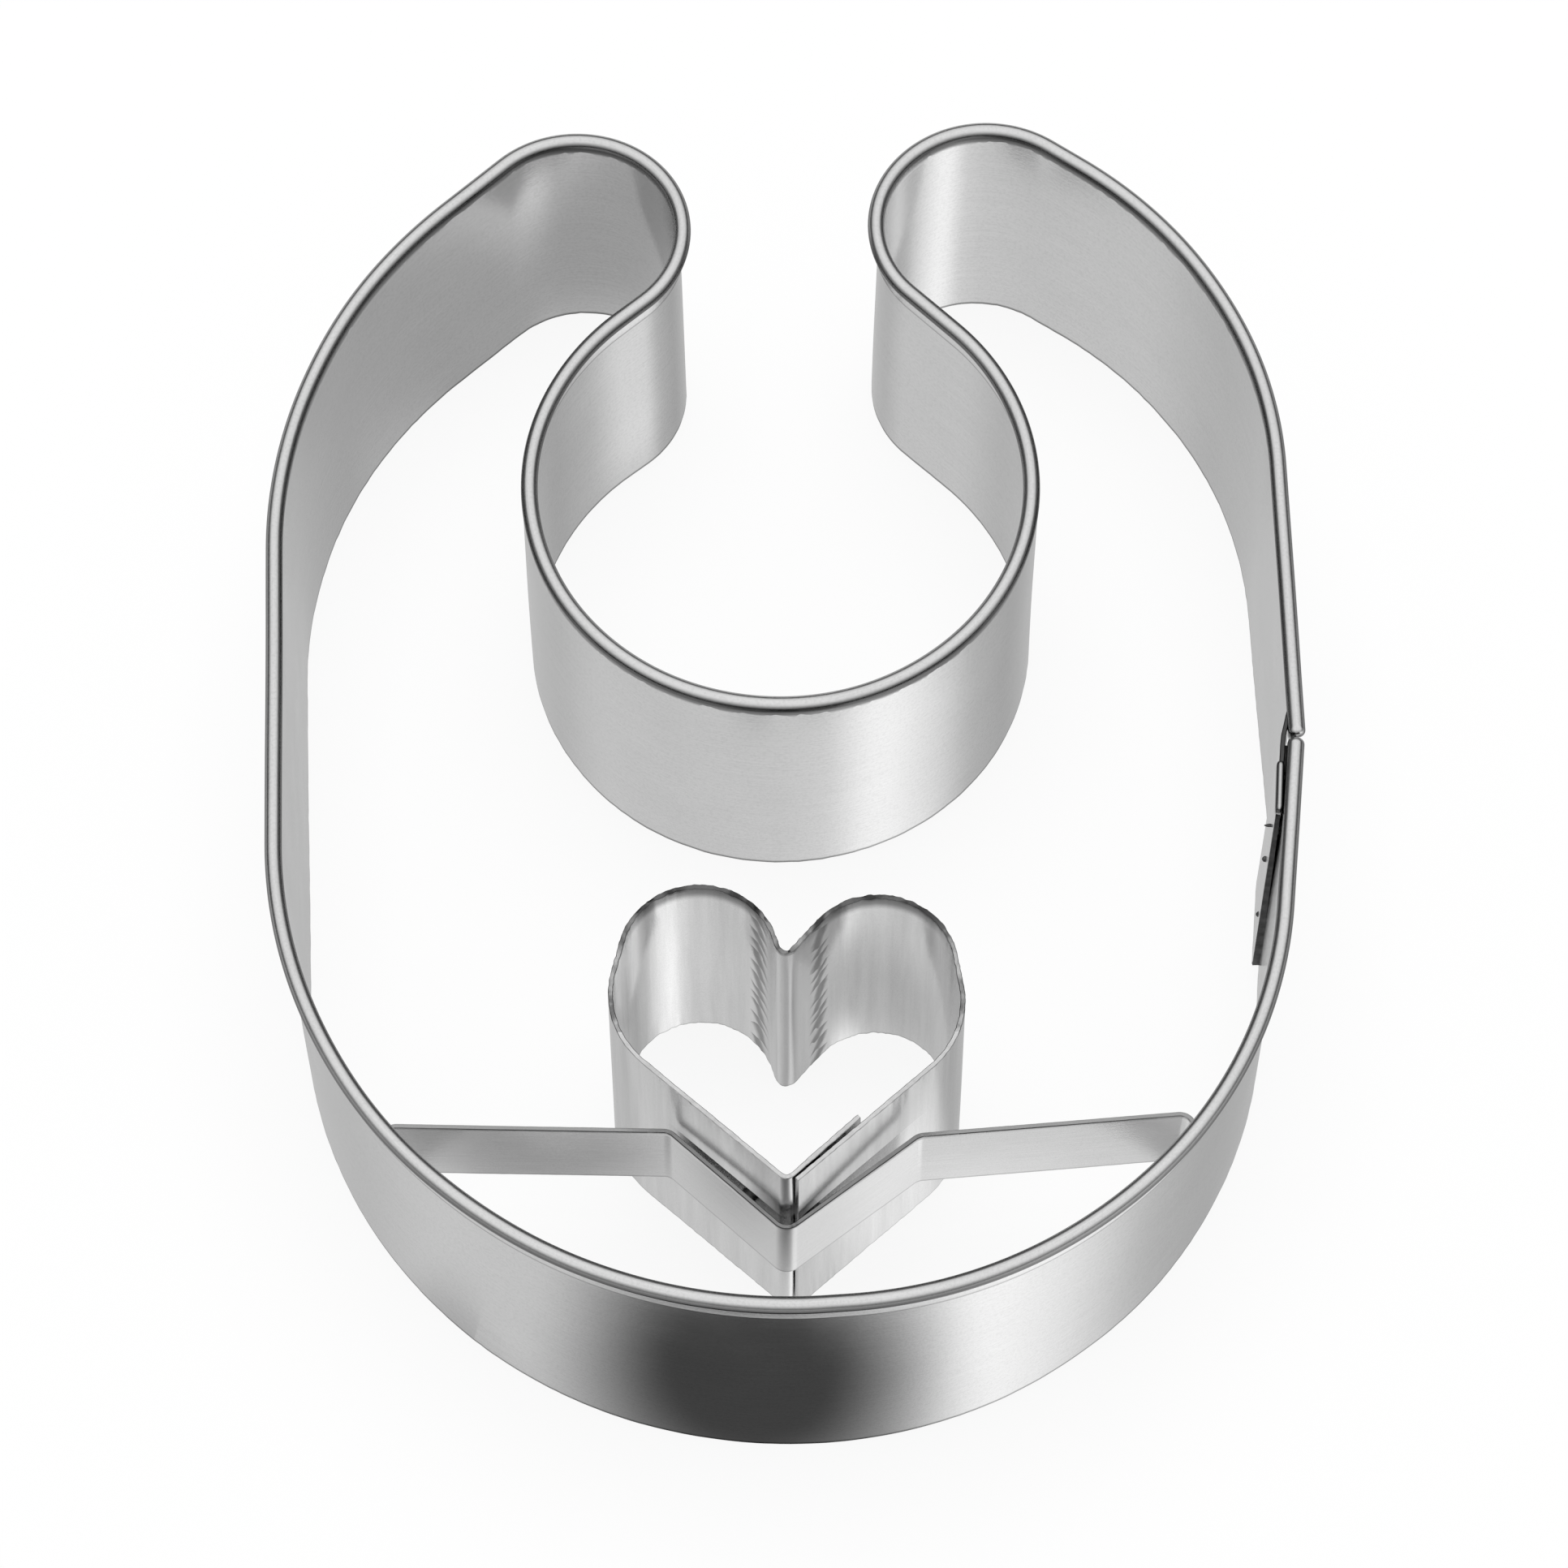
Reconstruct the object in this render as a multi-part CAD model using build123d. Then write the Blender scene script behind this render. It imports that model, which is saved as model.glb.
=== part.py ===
from build123d import *
import os
from math import asin, atan2, cos, degrees, hypot, pi, radians, sin

os.makedirs("parts", exist_ok=True)

# Millimetres. The cutting edges lie in z = 0 and the rolled edge is on top.
# The bib's bottom faces -Y and its two shoulder straps reach towards +Y.
sheet = 0.3
band_height = 20.4
heart_height = 18.9
strap_top = 13.7
strap_bottom = 7.2

# Rolled edge of the outer band.
roll_out = 0.85
roll_in = 0.22
roll_height = 1.07
roll_top_round = 0.48
hem_out = 0.5
hem_drop = 2.3

# Every outline is a strip bent round pegs: (x, y, radius), where a negative
# radius turns the strip to the right and radius 0 is a loose end. The outer
# band starts at an end tucked inside its seam and runs up the right side.
tongue_end_low = (29.78, -12.95, 0)
step_in_low = (32.72, -7.5, -2.5)
step_out_low = (28.62, -4.1, 2.5)
right_shoulder_low = (3.0, 11.1, 27.4)
right_tip_low = (12.75, 29.45, 6.75)
neck_low = (-0.2, 10.45, -15.95)
left_tip_low = (-13.1, 28.95, 6.55)
left_shoulder_low = (-1.35, 8.4, 29.65)
front_left_low = (0.15, -15.25, 30.2)
front_right_low = (0.3, -15.85, 29.6)
outer_end_low = (30.64, -7.3, 0)

tongue_end_high = (30.1, -12.3, 0)
step_in_high = (33.09, -7.4, -2.5)
step_out_high = (28.62, -4.6, 2.5)
right_shoulder_high = (3.0, 11.3, 27.6)
right_tip_high = (13.0, 29.75, 6.75)
neck_high = (-0.2, 10.8, -16.0)
left_tip_high = (-13.2, 29.3, 6.5)
left_shoulder_high = (0.75, 7.3, 32.1)
front_left_high = (0.25, -13.55, 31.0)
front_right_high = (1.8, -16.1, 28.35)
outer_end_high = (31.06, -7.3, 0)

# The rolled edge isn't tucked in: its two ends meet across a small gap.
roll_start = (31.13, -7.08, 0)

# Heart, a second bent strip whose ends lap on the right of the point.
heart_outer_end = (0.72, -36.32, 0)
heart_right_cheek = (4.75, -24.5, 6.0)
heart_right_lobe = (5.7, -22.25, 4.7)
heart_cleft = (0.1, -20.75, -0.55)
heart_left_lobe = (-5.2, -21.6, 4.75)
heart_left_cheek = (-4.35, -24.0, 6.15)
heart_tip = (0.1, -35.6, 0.55)
heart_inner_end = (4.45, -32.2, 0)

# Bridge strap, whose end tabs lie along the inside of the front wall.
strap_left_corner = (-23.5, -31.3, -0.9)
strap_left_bend = (-7.4, -31.75, -1.0)
strap_tip = (0.12, -36.2, 0.9)
strap_right_bend = (8.5, -32.05, -1.0)
strap_right_corner = (23.9, -30.6, -0.9)
strap_tab_angle = 6.0
strap_wall_gap = 0.32

# Spot welds. Each spot is (x, y, heading through both sheets in degrees), and
# the seam's three spots are (x, y, z).
weld_radius = 0.55
seam_weld_spots = ((30.06, -11.9, 5.0), (30.37, -10.8, 10.5), (30.5, -10.5, 14.5))
seam_weld_reach = 0.7
heart_seam_spot = (2.41, -34.43, -47.0)
heart_seam_reach = 0.6
heart_seam_heights = (4.5, 15.5)
strap_heart_spots = ((-2.75, -34.26, -133.5), (2.5, -35.3, -47.7))
strap_heart_reach = 0.8
strap_end_reach = 0.52
strap_weld_share = 0.55


def meeting(first, second):
    """Heading and touching points of the straight between two pegs."""
    run = (second[0] - first[0], second[1] - first[1])
    length = hypot(run[0], run[1])
    heading = atan2(run[1], run[0]) + asin((first[2] - second[2]) / length)
    leave = (first[0] + first[2] * sin(heading), first[1] - first[2] * cos(heading))
    reach = (second[0] + second[2] * sin(heading), second[1] - second[2] * cos(heading))
    return heading, leave, reach


def bend(peg, heading_in, heading_out):
    """Arc of the strip round one peg."""
    turn = (heading_out - heading_in) % (2 * pi)
    if peg[2] < 0:
        turn -= 2 * pi
    points = []
    for share in (0, 0.5, 1):
        heading = heading_in + share * turn
        points.append((peg[0] + peg[2] * sin(heading), peg[1] - peg[2] * cos(heading)))
    return ThreePointArc(*points)


def side_of_strip(pegs, shift):
    """Edges of a strip's side, moved to the left of its run by shift."""
    moved = [(x, y, radius - shift) for x, y, radius in pegs]
    straights = [meeting(first, second) for first, second in zip(moved[:-1], moved[1:])]
    edges = [Line(straights[0][1], straights[0][2])]
    for peg, before, after in zip(moved[1:-1], straights[:-1], straights[1:]):
        edges.append(bend(peg, before[0], after[0]))
        edges.append(Line(after[1], after[2]))
    return edges


def strip_face(pegs, left, right):
    """Flat plan of a strip, from its left side to its right side."""
    one_side = side_of_strip(pegs, left)
    other_side = side_of_strip(pegs, -right)
    start = Line(one_side[0] @ 0, other_side[0] @ 0)
    finish = Line(one_side[-1] @ 1, other_side[-1] @ 1)
    return make_face(one_side + [finish] + other_side + [start])


def strip_wall(pegs, bottom, top):
    """Upright strip of one sheet's thickness."""
    plan = Pos(0, 0, bottom) * strip_face(pegs, sheet / 2, sheet / 2)
    return extrude(plan, top - bottom)


def outer_band():
    """Leaning wall, with its top edge folded over and rolled outwards."""
    low = [tongue_end_low, step_in_low, step_out_low, right_shoulder_low, right_tip_low,
           neck_low, left_tip_low, left_shoulder_low, front_left_low, front_right_low,
           outer_end_low]
    rolled = [right_shoulder_high, right_tip_high, neck_high, left_tip_high,
              left_shoulder_high, front_left_high, front_right_high, outer_end_high]
    high = [tongue_end_high, step_in_high, step_out_high] + rolled
    half = sheet / 2
    low_plan = strip_face(low, half, half)
    high_plan = Pos(0, 0, band_height - roll_height / 2) * strip_face(high, half, half)
    wall = loft([low_plan, high_plan], ruled=True)

    roll_run = [roll_start] + rolled
    hem_base = Pos(0, 0, band_height - hem_drop)
    hem = extrude(hem_base * strip_face(roll_run, 0, hem_out), hem_drop - roll_height / 2)

    roll_base = Pos(0, 0, band_height - roll_height)
    roll = extrude(roll_base * strip_face(roll_run, roll_in, roll_out), roll_height)
    roll = fillet(roll.edges().group_by(Axis.Z)[-1], roll_top_round)
    return wall + hem + roll


def heart_band():
    """Inner heart with plain upper and lower edges."""
    return strip_wall([heart_outer_end, heart_right_cheek, heart_right_lobe, heart_cleft,
                       heart_left_lobe, heart_left_cheek, heart_tip, heart_inner_end],
                      0, heart_height)


def front_at_strap(low, high):
    """Centre and inner radius of one half of the front wall, halfway up the strap."""
    share = (strap_top + strap_bottom) / 2 / (band_height - roll_height / 2)
    x, y, radius = [a + share * (b - a) for a, b in zip(low, high)]
    return x, y, radius - sheet / 2


def on_tab(corner, turn, front, depth):
    """Spot beside a strap's end tab: turned from its corner, and at a depth inside the wall."""
    x, y, inner = front
    radius = inner - depth
    angle = atan2(corner[1] - y, corner[0] - x) + radians(turn)
    return x + radius * cos(angle), y + radius * sin(angle), degrees(angle)


def tab_end(corner, turn, front):
    """Loose end of a tab that runs along the front wall from a strap's corner."""
    x, y, heading = on_tab(corner, turn, front, strap_wall_gap + sheet / 2)
    return x, y, 0


def bridge_strap():
    """Narrow strip from wall to wall, bent round the heart's point."""
    left_front = front_at_strap(front_left_low, front_left_high)
    right_front = front_at_strap(front_right_low, front_right_high)
    return strip_wall([tab_end(strap_left_corner, strap_tab_angle, left_front),
                       strap_left_corner, strap_left_bend, strap_tip, strap_right_bend,
                       strap_right_corner,
                       tab_end(strap_right_corner, -strap_tab_angle, right_front)],
                      strap_bottom, strap_top)


def nugget(spot, z, reach, sheets):
    """Fused metal that fills the gap between two sheets at one spot."""
    x, y, heading = spot
    pin = Pos(x, y, z) * Rot(0, 0, heading) * Rot(0, 90, 0) * Cylinder(weld_radius, reach)
    for piece in sheets:
        pin = pin - piece
    return pin.solids().sort_by(SortBy.VOLUME)[-1]


def band_seam_welds(band):
    """Nuggets between the tucked-in end and the outer end of the band."""
    return [nugget((x, y, 0), z, seam_weld_reach, [band]) for x, y, z in seam_weld_spots]


def heart_seam_welds(heart):
    """Nuggets between the heart's lapped ends."""
    return [nugget(heart_seam_spot, z, heart_seam_reach, [heart]) for z in heart_seam_heights]


def strap_end_welds(band, strap):
    """Nuggets between the strap's end tabs and the front wall."""
    z = (strap_top + strap_bottom) / 2
    left_front = front_at_strap(front_left_low, front_left_high)
    right_front = front_at_strap(front_right_low, front_right_high)
    turn = strap_tab_angle * strap_weld_share
    left = on_tab(strap_left_corner, turn, left_front, strap_wall_gap / 2)
    right = on_tab(strap_right_corner, -turn, right_front, strap_wall_gap / 2)
    return [nugget(spot, z, strap_end_reach, [band, strap]) for spot in (left, right)]


def strap_heart_welds(heart, strap):
    """Nuggets between the strap and both sides of the heart's point."""
    z = (strap_top + strap_bottom) / 2
    return [nugget(spot, z, strap_heart_reach, [heart, strap]) for spot in strap_heart_spots]


band = outer_band()
heart = heart_band()
strap = bridge_strap()
pieces = {
    "outer_band": [band],
    "heart_band": [heart],
    "bridge_strap": [strap],
    "band_seam_welds": band_seam_welds(band),
    "heart_seam_welds": heart_seam_welds(heart),
    "strap_end_welds": strap_end_welds(band, strap),
    "strap_heart_welds": strap_heart_welds(heart, strap),
}

# The origin is the middle of the whole part's footprint.
middle = band.bounding_box().center()
to_origin = Pos(-middle.X, -middle.Y, 0)
for name, solids in pieces.items():
    placed = [to_origin * solid for solid in solids]
    shape = placed[0] if len(placed) == 1 else Compound(children=placed)
    export_step(shape, "parts/" + name + ".step")
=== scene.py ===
import math

import bpy
from mathutils import Matrix, Vector, noise


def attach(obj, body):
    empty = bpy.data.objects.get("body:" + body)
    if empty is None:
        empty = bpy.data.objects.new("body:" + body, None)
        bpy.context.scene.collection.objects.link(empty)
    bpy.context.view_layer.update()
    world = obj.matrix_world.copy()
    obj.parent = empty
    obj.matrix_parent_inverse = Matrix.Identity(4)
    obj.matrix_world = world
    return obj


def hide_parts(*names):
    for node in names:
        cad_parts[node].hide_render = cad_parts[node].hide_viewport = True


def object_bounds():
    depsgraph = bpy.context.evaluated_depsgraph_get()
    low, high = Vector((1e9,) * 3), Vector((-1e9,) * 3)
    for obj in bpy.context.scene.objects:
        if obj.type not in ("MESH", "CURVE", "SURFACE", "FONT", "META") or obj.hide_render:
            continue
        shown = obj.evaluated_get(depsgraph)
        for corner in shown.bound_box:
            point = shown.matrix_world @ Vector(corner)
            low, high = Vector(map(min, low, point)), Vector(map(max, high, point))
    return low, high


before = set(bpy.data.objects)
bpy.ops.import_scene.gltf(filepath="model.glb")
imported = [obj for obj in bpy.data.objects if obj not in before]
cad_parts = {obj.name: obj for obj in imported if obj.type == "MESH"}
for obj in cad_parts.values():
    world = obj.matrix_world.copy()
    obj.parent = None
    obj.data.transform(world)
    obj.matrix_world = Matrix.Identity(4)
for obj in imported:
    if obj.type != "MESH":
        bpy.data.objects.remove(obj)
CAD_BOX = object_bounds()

bl_info = {
    "name": "Bib Cookie Cutter",
    "version": (1, 0, 0),
    "blender": (4, 5, 0),
    "location": "3D View > Sidebar > Cutter",
    "description": "Builds a bib-shaped cookie cutter of thin steel strip and its studio",
    "category": "Add Mesh",
}

MM = 0.001

# Places in the frame are millimetres from the middle of the cutter's footprint.
MIDDLE_X = 0.11
MIDDLE_Y = 4.125

# Every strip is bent round pegs: (x, y, radius). A negative radius turns it to
# the right, and radius 0 is a loose end. The wall leans a little, so the outer
# strip has one run at its cutting edge and another at its rolled edge. Both
# start at the end that is tucked inside the seam and go up the right side.
BAND_LOW = [(29.78, -12.95, 0), (32.72, -7.5, -2.5), (28.62, -4.1, 2.5), (3.0, 11.1, 27.4),
            (12.75, 29.45, 6.75), (-0.2, 10.45, -15.95), (-13.1, 28.95, 6.55), (-1.35, 8.4, 29.65),
            (0.15, -15.25, 30.2), (0.3, -15.85, 29.6), (30.64, -7.3, 0)]
BAND_HIGH = [(30.1, -12.3, 0), (33.09, -7.4, -2.5), (28.62, -4.6, 2.5), (3.0, 11.3, 27.6),
             (13.0, 29.75, 6.75), (-0.2, 10.8, -16.0), (-13.2, 29.3, 6.5), (0.75, 7.3, 32.1),
             (0.25, -13.55, 31.0), (1.8, -16.1, 28.35), (31.06, -7.3, 0)]
FRONT_PEGS = (8, 9)
LEAN_HEIGHT = 19.865

# The rolled edge isn't tucked in: its two ends meet across a small gap.
ROLL_RUN = [(31.13, -7.08, 0)] + BAND_HIGH[3:]

# Rolled edge's outline, (outwards, below the top, tone): the tone is painted shade, which darkens
# the fold's crease, both flanks and the hem's lower edge against the pale crown.
ROLL_OUTLINE = [(-0.12, 1.60, 1.0), (-0.155, 1.40, 1.0), (-0.157, 1.20, 0.8), (-0.16, 1.05, 0.45),
                (-0.17, 0.88, 0.15), (-0.20, 0.70, 0.10), (-0.21, 0.53, 0.12), (-0.192, 0.393, 0.20),
                (-0.139, 0.265, 0.38), (-0.055, 0.155, 0.70), (0.055, 0.071, 0.95), (0.183, 0.018, 1.0),
                (0.32, 0.0, 1.0), (0.457, 0.018, 1.0), (0.585, 0.071, 0.95), (0.695, 0.155, 0.65),
                (0.779, 0.265, 0.38), (0.832, 0.393, 0.22), (0.85, 0.53, 0.15), (0.832, 0.667, 0.12),
                (0.779, 0.795, 0.12), (0.695, 0.905, 0.12), (0.59, 0.985, 0.12), (0.45, 1.05, 0.30),
                (0.40, 1.16, 0.90), (0.41, 1.50, 1.0), (0.47, 2.05, 0.95), (0.49, 2.22, 0.5),
                (0.44, 2.30, 0.2), (0.16, 2.30, 0.1), (0.10, 2.10, 0.4)]
ROLL_CENTRE = (0.32, 0.53)

# The tucked-in end's top edge is a hem pressed flat.
TONGUE_HEM_RUN = [(30.17, -12.2, 0), (30.38, -8.75, 0)]
# Outline as (outwards, below the top, tone); the tone is painted shade, darkest on the flanks either side of
# the crown.
TONGUE_HEM_OUTLINE = [(-0.15, 2.0, 0.8), (-0.23, 1.6, 0.7), (-0.25, 1.1, 0.4), (-0.25, 0.72, 0.12),
                      (-0.21, 0.52, 0.1), (-0.11, 0.42, 0.35), (0.0, 0.40, 0.9), (0.11, 0.42, 0.35),
                      (0.21, 0.52, 0.1), (0.25, 0.72, 0.12), (0.25, 1.1, 0.3), (0.23, 1.6, 0.3),
                      (0.15, 2.0, 0.3)]
TONGUE_HEM_CENTRE = (0.0, 0.9)
OUTLINE_STEPS = 3

# A folded edge's loose end is rounded over ROUND_END and shrinks to END_SHARE of its section.
ROUND_END = 0.38
END_SHARE = 0.42
END_PARTS = 8

# Unevenness of the bent strips: its wave lengths along and up the wall, and a burr's length
# along the edge and waves across it.
WAVE_ALONG = 9.0
WAVE_UP = 14.0
BURR_GRAIN = 0.3
BURR_ACROSS = 3.0

# A wall's mesh has this many rows, and its edges are sharp from this angle in degrees.
SECTION_ROWS = 14
SHARP_ANGLE = 32

# The wall ends inside the rolled edge, this far below the top.
WALL_DROP = 0.6

# A lip turned from the tucked-in end's edge towards the outer end's wall, near-black as painted shade of the
# slit beside it.
LIP_LOW = [(29.66, -12.99, 0), (30.12, -12.99, 0)]
LIP_HIGH = [(29.98, -12.35, 0), (30.24, -12.35, 0)]
LIP_DROP = 1.0

HEART_RUN = [(0.72, -36.32, 0), (4.75, -24.5, 6.0), (5.7, -22.25, 4.7), (0.1, -20.75, -0.55),
             (-5.2, -21.6, 4.75), (-4.35, -24.0, 6.15), (0.1, -35.6, 0.55), (4.45, -32.2, 0)]

STRAP_LEFT_CORNER = (-23.5, -31.3, -0.9)
STRAP_LEFT_BEND = (-7.4, -31.75, -1.0)
STRAP_TIP = (0.12, -36.2, 0.9)
STRAP_RIGHT_BEND = (8.5, -32.05, -1.0)
STRAP_RIGHT_CORNER = (23.9, -30.6, -0.9)
STRAP_TAB_ANGLE = 6.0
STRAP_WALL_GAP = 0.32

# A near-black sheet between the seam's two sheets beside the outer end: painted shade of the slit there.
FILL_LOW = [(30.28, -9.3, 0), (30.425, -7.45, 0)]
FILL_HIGH = [(30.64, -9.3, 0), (30.82, -7.45, 0)]
FILL_BASE = 1.0
FILL_DROP = 1.1

# Burrs of the seam's three spot welds on the tucked-in end's inner face: (y, z, radius, proud).
# Each starts BURR_SINK inside the sheet.
SEAM_BURRS = [(-11.9, 5.0, 0.20, 0.16), (-10.8, 10.5, 0.21, 0.24), (-10.5, 14.5, 0.11, 0.42)]
BURR_SINK = 0.05

# Marks on the heart's two lobes, in millimetres. They start at MARKS_FROM_Y. Scored teeth
# run down both sides of the middle, and a line of painted shade runs down the cleft.
MARKS_FROM_Y = -22.5
MARKS_MIDDLE = 0.4
TEETH_ASIDE = 1.6
TEETH_PITCH = 1.5
TEETH_REACH = 0.5
TEETH_WIDTH = (0.1, 0.42)
TEETH_WANDER = 2.2
CLEFT_SHADE_WIDTH = (0.1, 0.75)
CLEFT_SHADE_STRENGTH = 0.55
MARKS_AND_SHADE_TONE = 0.3

# The heart's upper edge turns dark at EDGE_HEIGHT, partly dull sheared metal and partly painted
# shade, and painted shadow darkens the wall below it under the lobes' crowns, growing from CROWN_FROM_Y to
# CROWN_TO_Y.
EDGE_HEIGHT = 18.5
EDGE_FADE = 0.25
CROWN_FROM_Y = -17.0
CROWN_TO_Y = -14.2
CROWN_DROP = 1.1
CROWN_SHADOW_TONE = 0.28

# Soft handling marks on all the strips, in millimetres.
CLOUD_SIZE = 6.0

# Photograph's camera: its height above the horizon and its roll in degrees, its distance and
# lens in millimetres, and its clipping in metres.
CAMERA_ELEVATION = 62.5
CAMERA_DISTANCE = 449.7
CAMERA_ROLL = -0.12
SENSOR_WIDTH = 36.0
LENS = 160.7
CLIP = (0.01, 20)

# Studio, in metres and watts. FLOOR_LEVELS says how bright the floor looks in the metal, by
# direction in degrees from -Y towards +X, and BACK_LEVELS and FRONT_LEVELS do so for the
# walls and ceiling, by height. All three are shares of BRIGHTEST.
BRIGHTEST = 1.5
ROOM_LIGHT = 0.6
PAPER_WHITE = 0.9
SOFTBOX_POWER = 3.2
SOFTBOX_SIZE = (0.5, 0.5)
SOFTBOX_PLACE = (0.0, 0.15, 0.7)
FLOOR_SIZE = (6.0, 6.0)
FLOOR_DROP = 0.00005
FLOOR_LEVELS = [(-180, 0.43), (-150, 0.40), (-120, 0.40), (-90, 0.52), (-55, 0.52), (-25, 0.54), (0, 0.56),
                (22, 0.62), (40, 0.88), (50, 0.90), (60, 0.82), (76, 0.66), (95, 0.42), (125, 0.32),
                (155, 0.37), (180, 0.43)]
BACK_LEVELS = [(0.0, 0.06), (0.35, 0.08), (0.6, 0.5), (0.9, 0.66), (1.0, 0.66)]
FRONT_LEVELS = [(0.0, 0.22), (0.25, 0.3), (0.6, 0.55), (0.9, 0.66), (1.0, 0.66)]

# Soft cards that only the metal shows: name, middle, half sizes, turn, level. The last
# two lie between the strap and the heart, and the others lie on the floor. Each is solid in
# its core, fades out towards its rim, and its sheet spreads as far as the fade needs.
CARD_CORE, CARD_RIM, CARD_SPREAD = 0.35, 1.25, 2.4
REFLECTED_CARDS = [("front_flag", (-3.2, -50.5, -0.2), (16.6, 11.5), 0.0, 0.07),
                   ("shoulder_shade", (-16.5, 29.5, -0.2), (11.0, 9.5), 0.0, 0.48),
                   ("right_lobe_shade", (6.8, -21.4, -0.2), (4.2, 4.4), 0.0, 0.63),
                   ("strap_shade", (-15.0, -36.5, -0.2), (9.0, 4.5), 0.0, 0.45),
                   ("heart_glow", (11.0, -31.5, -0.2), (9.0, 5.0), 0.0, 1.1),
                   ("left_gap_glow", (-4.9, -32.7, 13.35), (5.4, 1.5), -33.0, 0.75),
                   ("right_gap_glow", (5.6, -32.7, 13.35), (5.8, 1.7), 30.0, 0.8)]


def linear(hex_colour):
    """Linear RGBA of an sRGB hex colour."""
    parts = [int(hex_colour[i:i + 2], 16) / 255 for i in (0, 2, 4)]
    return [c / 12.92 if c <= 0.04045 else ((c + 0.055) / 1.055) ** 2.4 for c in parts] + [1.0]


def add(tree, kind, settings=None, links=None):
    """Adds a node. Settings are its own properties, socket values or a ramp's grey stops as
    (position, grey), and links name where its inputs come from."""
    node = tree.nodes.new(kind)
    for name, value in (settings or {}).items():
        if name == "stops":
            elements = node.color_ramp.elements
            while len(elements) < len(value):
                elements.new(0.5)
            for element, (position, grey) in zip(elements, value):
                element.position = position
                element.color = (grey, grey, grey, 1)
        elif isinstance(name, str) and hasattr(node, name) and name not in node.inputs:
            setattr(node, name, value)
        else:
            node.inputs[name].default_value = value
    for name, source in (links or {}).items():
        tree.links.new(source, node.inputs[name])
    return node


def fresh_material(name):
    """New material with an empty node tree and its output."""
    material = bpy.data.materials.new(name)
    material.use_nodes = True
    material.node_tree.nodes.clear()
    return material, material.node_tree, add(material.node_tree, "ShaderNodeOutputMaterial")


def layered(tree, colour, layers):
    """A colour multiplied by each grey layer in turn."""
    for layer in layers:
        product = add(tree, "ShaderNodeMix", {"data_type": "RGBA", "blend_type": "MULTIPLY", 0: 1.0},
                      {6: colour, 7: layer})
        colour = product.outputs[2]
    return colour


def satin_stainless(name, colour, roughness, grain_mm, streaks, height, shade_tones, streak_tone=(0.93, 1.0)):
    """Cold-rolled stainless strip with a dull satin finish.
    The eye gets fine grain from the rolling mill, soft handling marks, sheared edges that are partly
    dull cut metal and partly darkened by painted shade, and reflections that stay blurred. The mill's
    grain is far finer than 0.1 mm, so it is drawn coarser to show."""
    material, tree, out = fresh_material(name)
    along = add(tree, "ShaderNodeUVMap", {"uv_map": "strip"})
    where = add(tree, "ShaderNodeTexCoord")
    grain = add(tree, "ShaderNodeTexNoise", {"Scale": 1 / (grain_mm * MM), "Detail": 2.0, "Roughness": 0.6},
                {"Vector": where.outputs["Object"]})
    stretch = add(tree, "ShaderNodeMapping", {"Scale": streaks}, {"Vector": along.outputs["UV"]})
    lines = add(tree, "ShaderNodeTexNoise", {"Scale": 1.0, "Detail": 4.0, "Roughness": 0.65},
                {"Vector": stretch.outputs["Vector"]})
    cloud = add(tree, "ShaderNodeTexNoise", {"Scale": 1 / (CLOUD_SIZE * MM), "Detail": 4.0, "Roughness": 0.6},
                {"Vector": where.outputs["Object"]})
    relief = add(tree, "ShaderNodeMath", {"operation": "MULTIPLY_ADD", 1: 0.6},
                 {0: lines.outputs["Fac"], 2: grain.outputs["Fac"]})
    rough = add(tree, "ShaderNodeMapRange", {"From Min": 0.3, "From Max": 0.7, "To Min": roughness - 0.02,
                                             "To Max": roughness + 0.03}, {"Value": cloud.outputs["Fac"]})
    up = add(tree, "ShaderNodeSeparateXYZ", links={"Vector": along.outputs["UV"]})
    share = add(tree, "ShaderNodeMapRange", {"From Max": height * MM}, {"Value": up.outputs["Y"]})
    # Painted shade: shade_tones darken the sheared edges, and a folded edge's crease and flanks.
    edges = add(tree, "ShaderNodeValToRGB", {"stops": shade_tones}, {"Fac": share.outputs["Result"]})
    handled = add(tree, "ShaderNodeValToRGB", {"stops": [(0.3, 0.95), (0.7, 1.0)]},
                  {"Fac": cloud.outputs["Fac"]})
    rubbed = add(tree, "ShaderNodeValToRGB", {"stops": [(0.35, streak_tone[0]), (0.65, streak_tone[1])]},
                 {"Fac": lines.outputs["Fac"]})
    speckle = add(tree, "ShaderNodeValToRGB", {"stops": [(0.36, 0.93), (0.5, 0.985), (0.64, 1.0)]},
                  {"Fac": grain.outputs["Fac"]})
    base = add(tree, "ShaderNodeRGB")
    base.outputs[0].default_value = linear(colour)
    layers = [layer.outputs["Color"] for layer in (handled, rubbed, speckle, edges)]
    tint = layered(tree, base.outputs[0], layers)
    bump = add(tree, "ShaderNodeBump", {"Strength": 0.2, "Distance": 0.02 * MM}, {"Height": relief.outputs[0]})
    shader = add(tree, "ShaderNodeBsdfPrincipled", {"Metallic": 1.0},
                 {"Base Color": tint, "Roughness": rough.outputs["Result"], "Normal": bump.outputs["Normal"]})
    tree.links.new(shader.outputs["BSDF"], out.inputs["Surface"])
    return material


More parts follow.
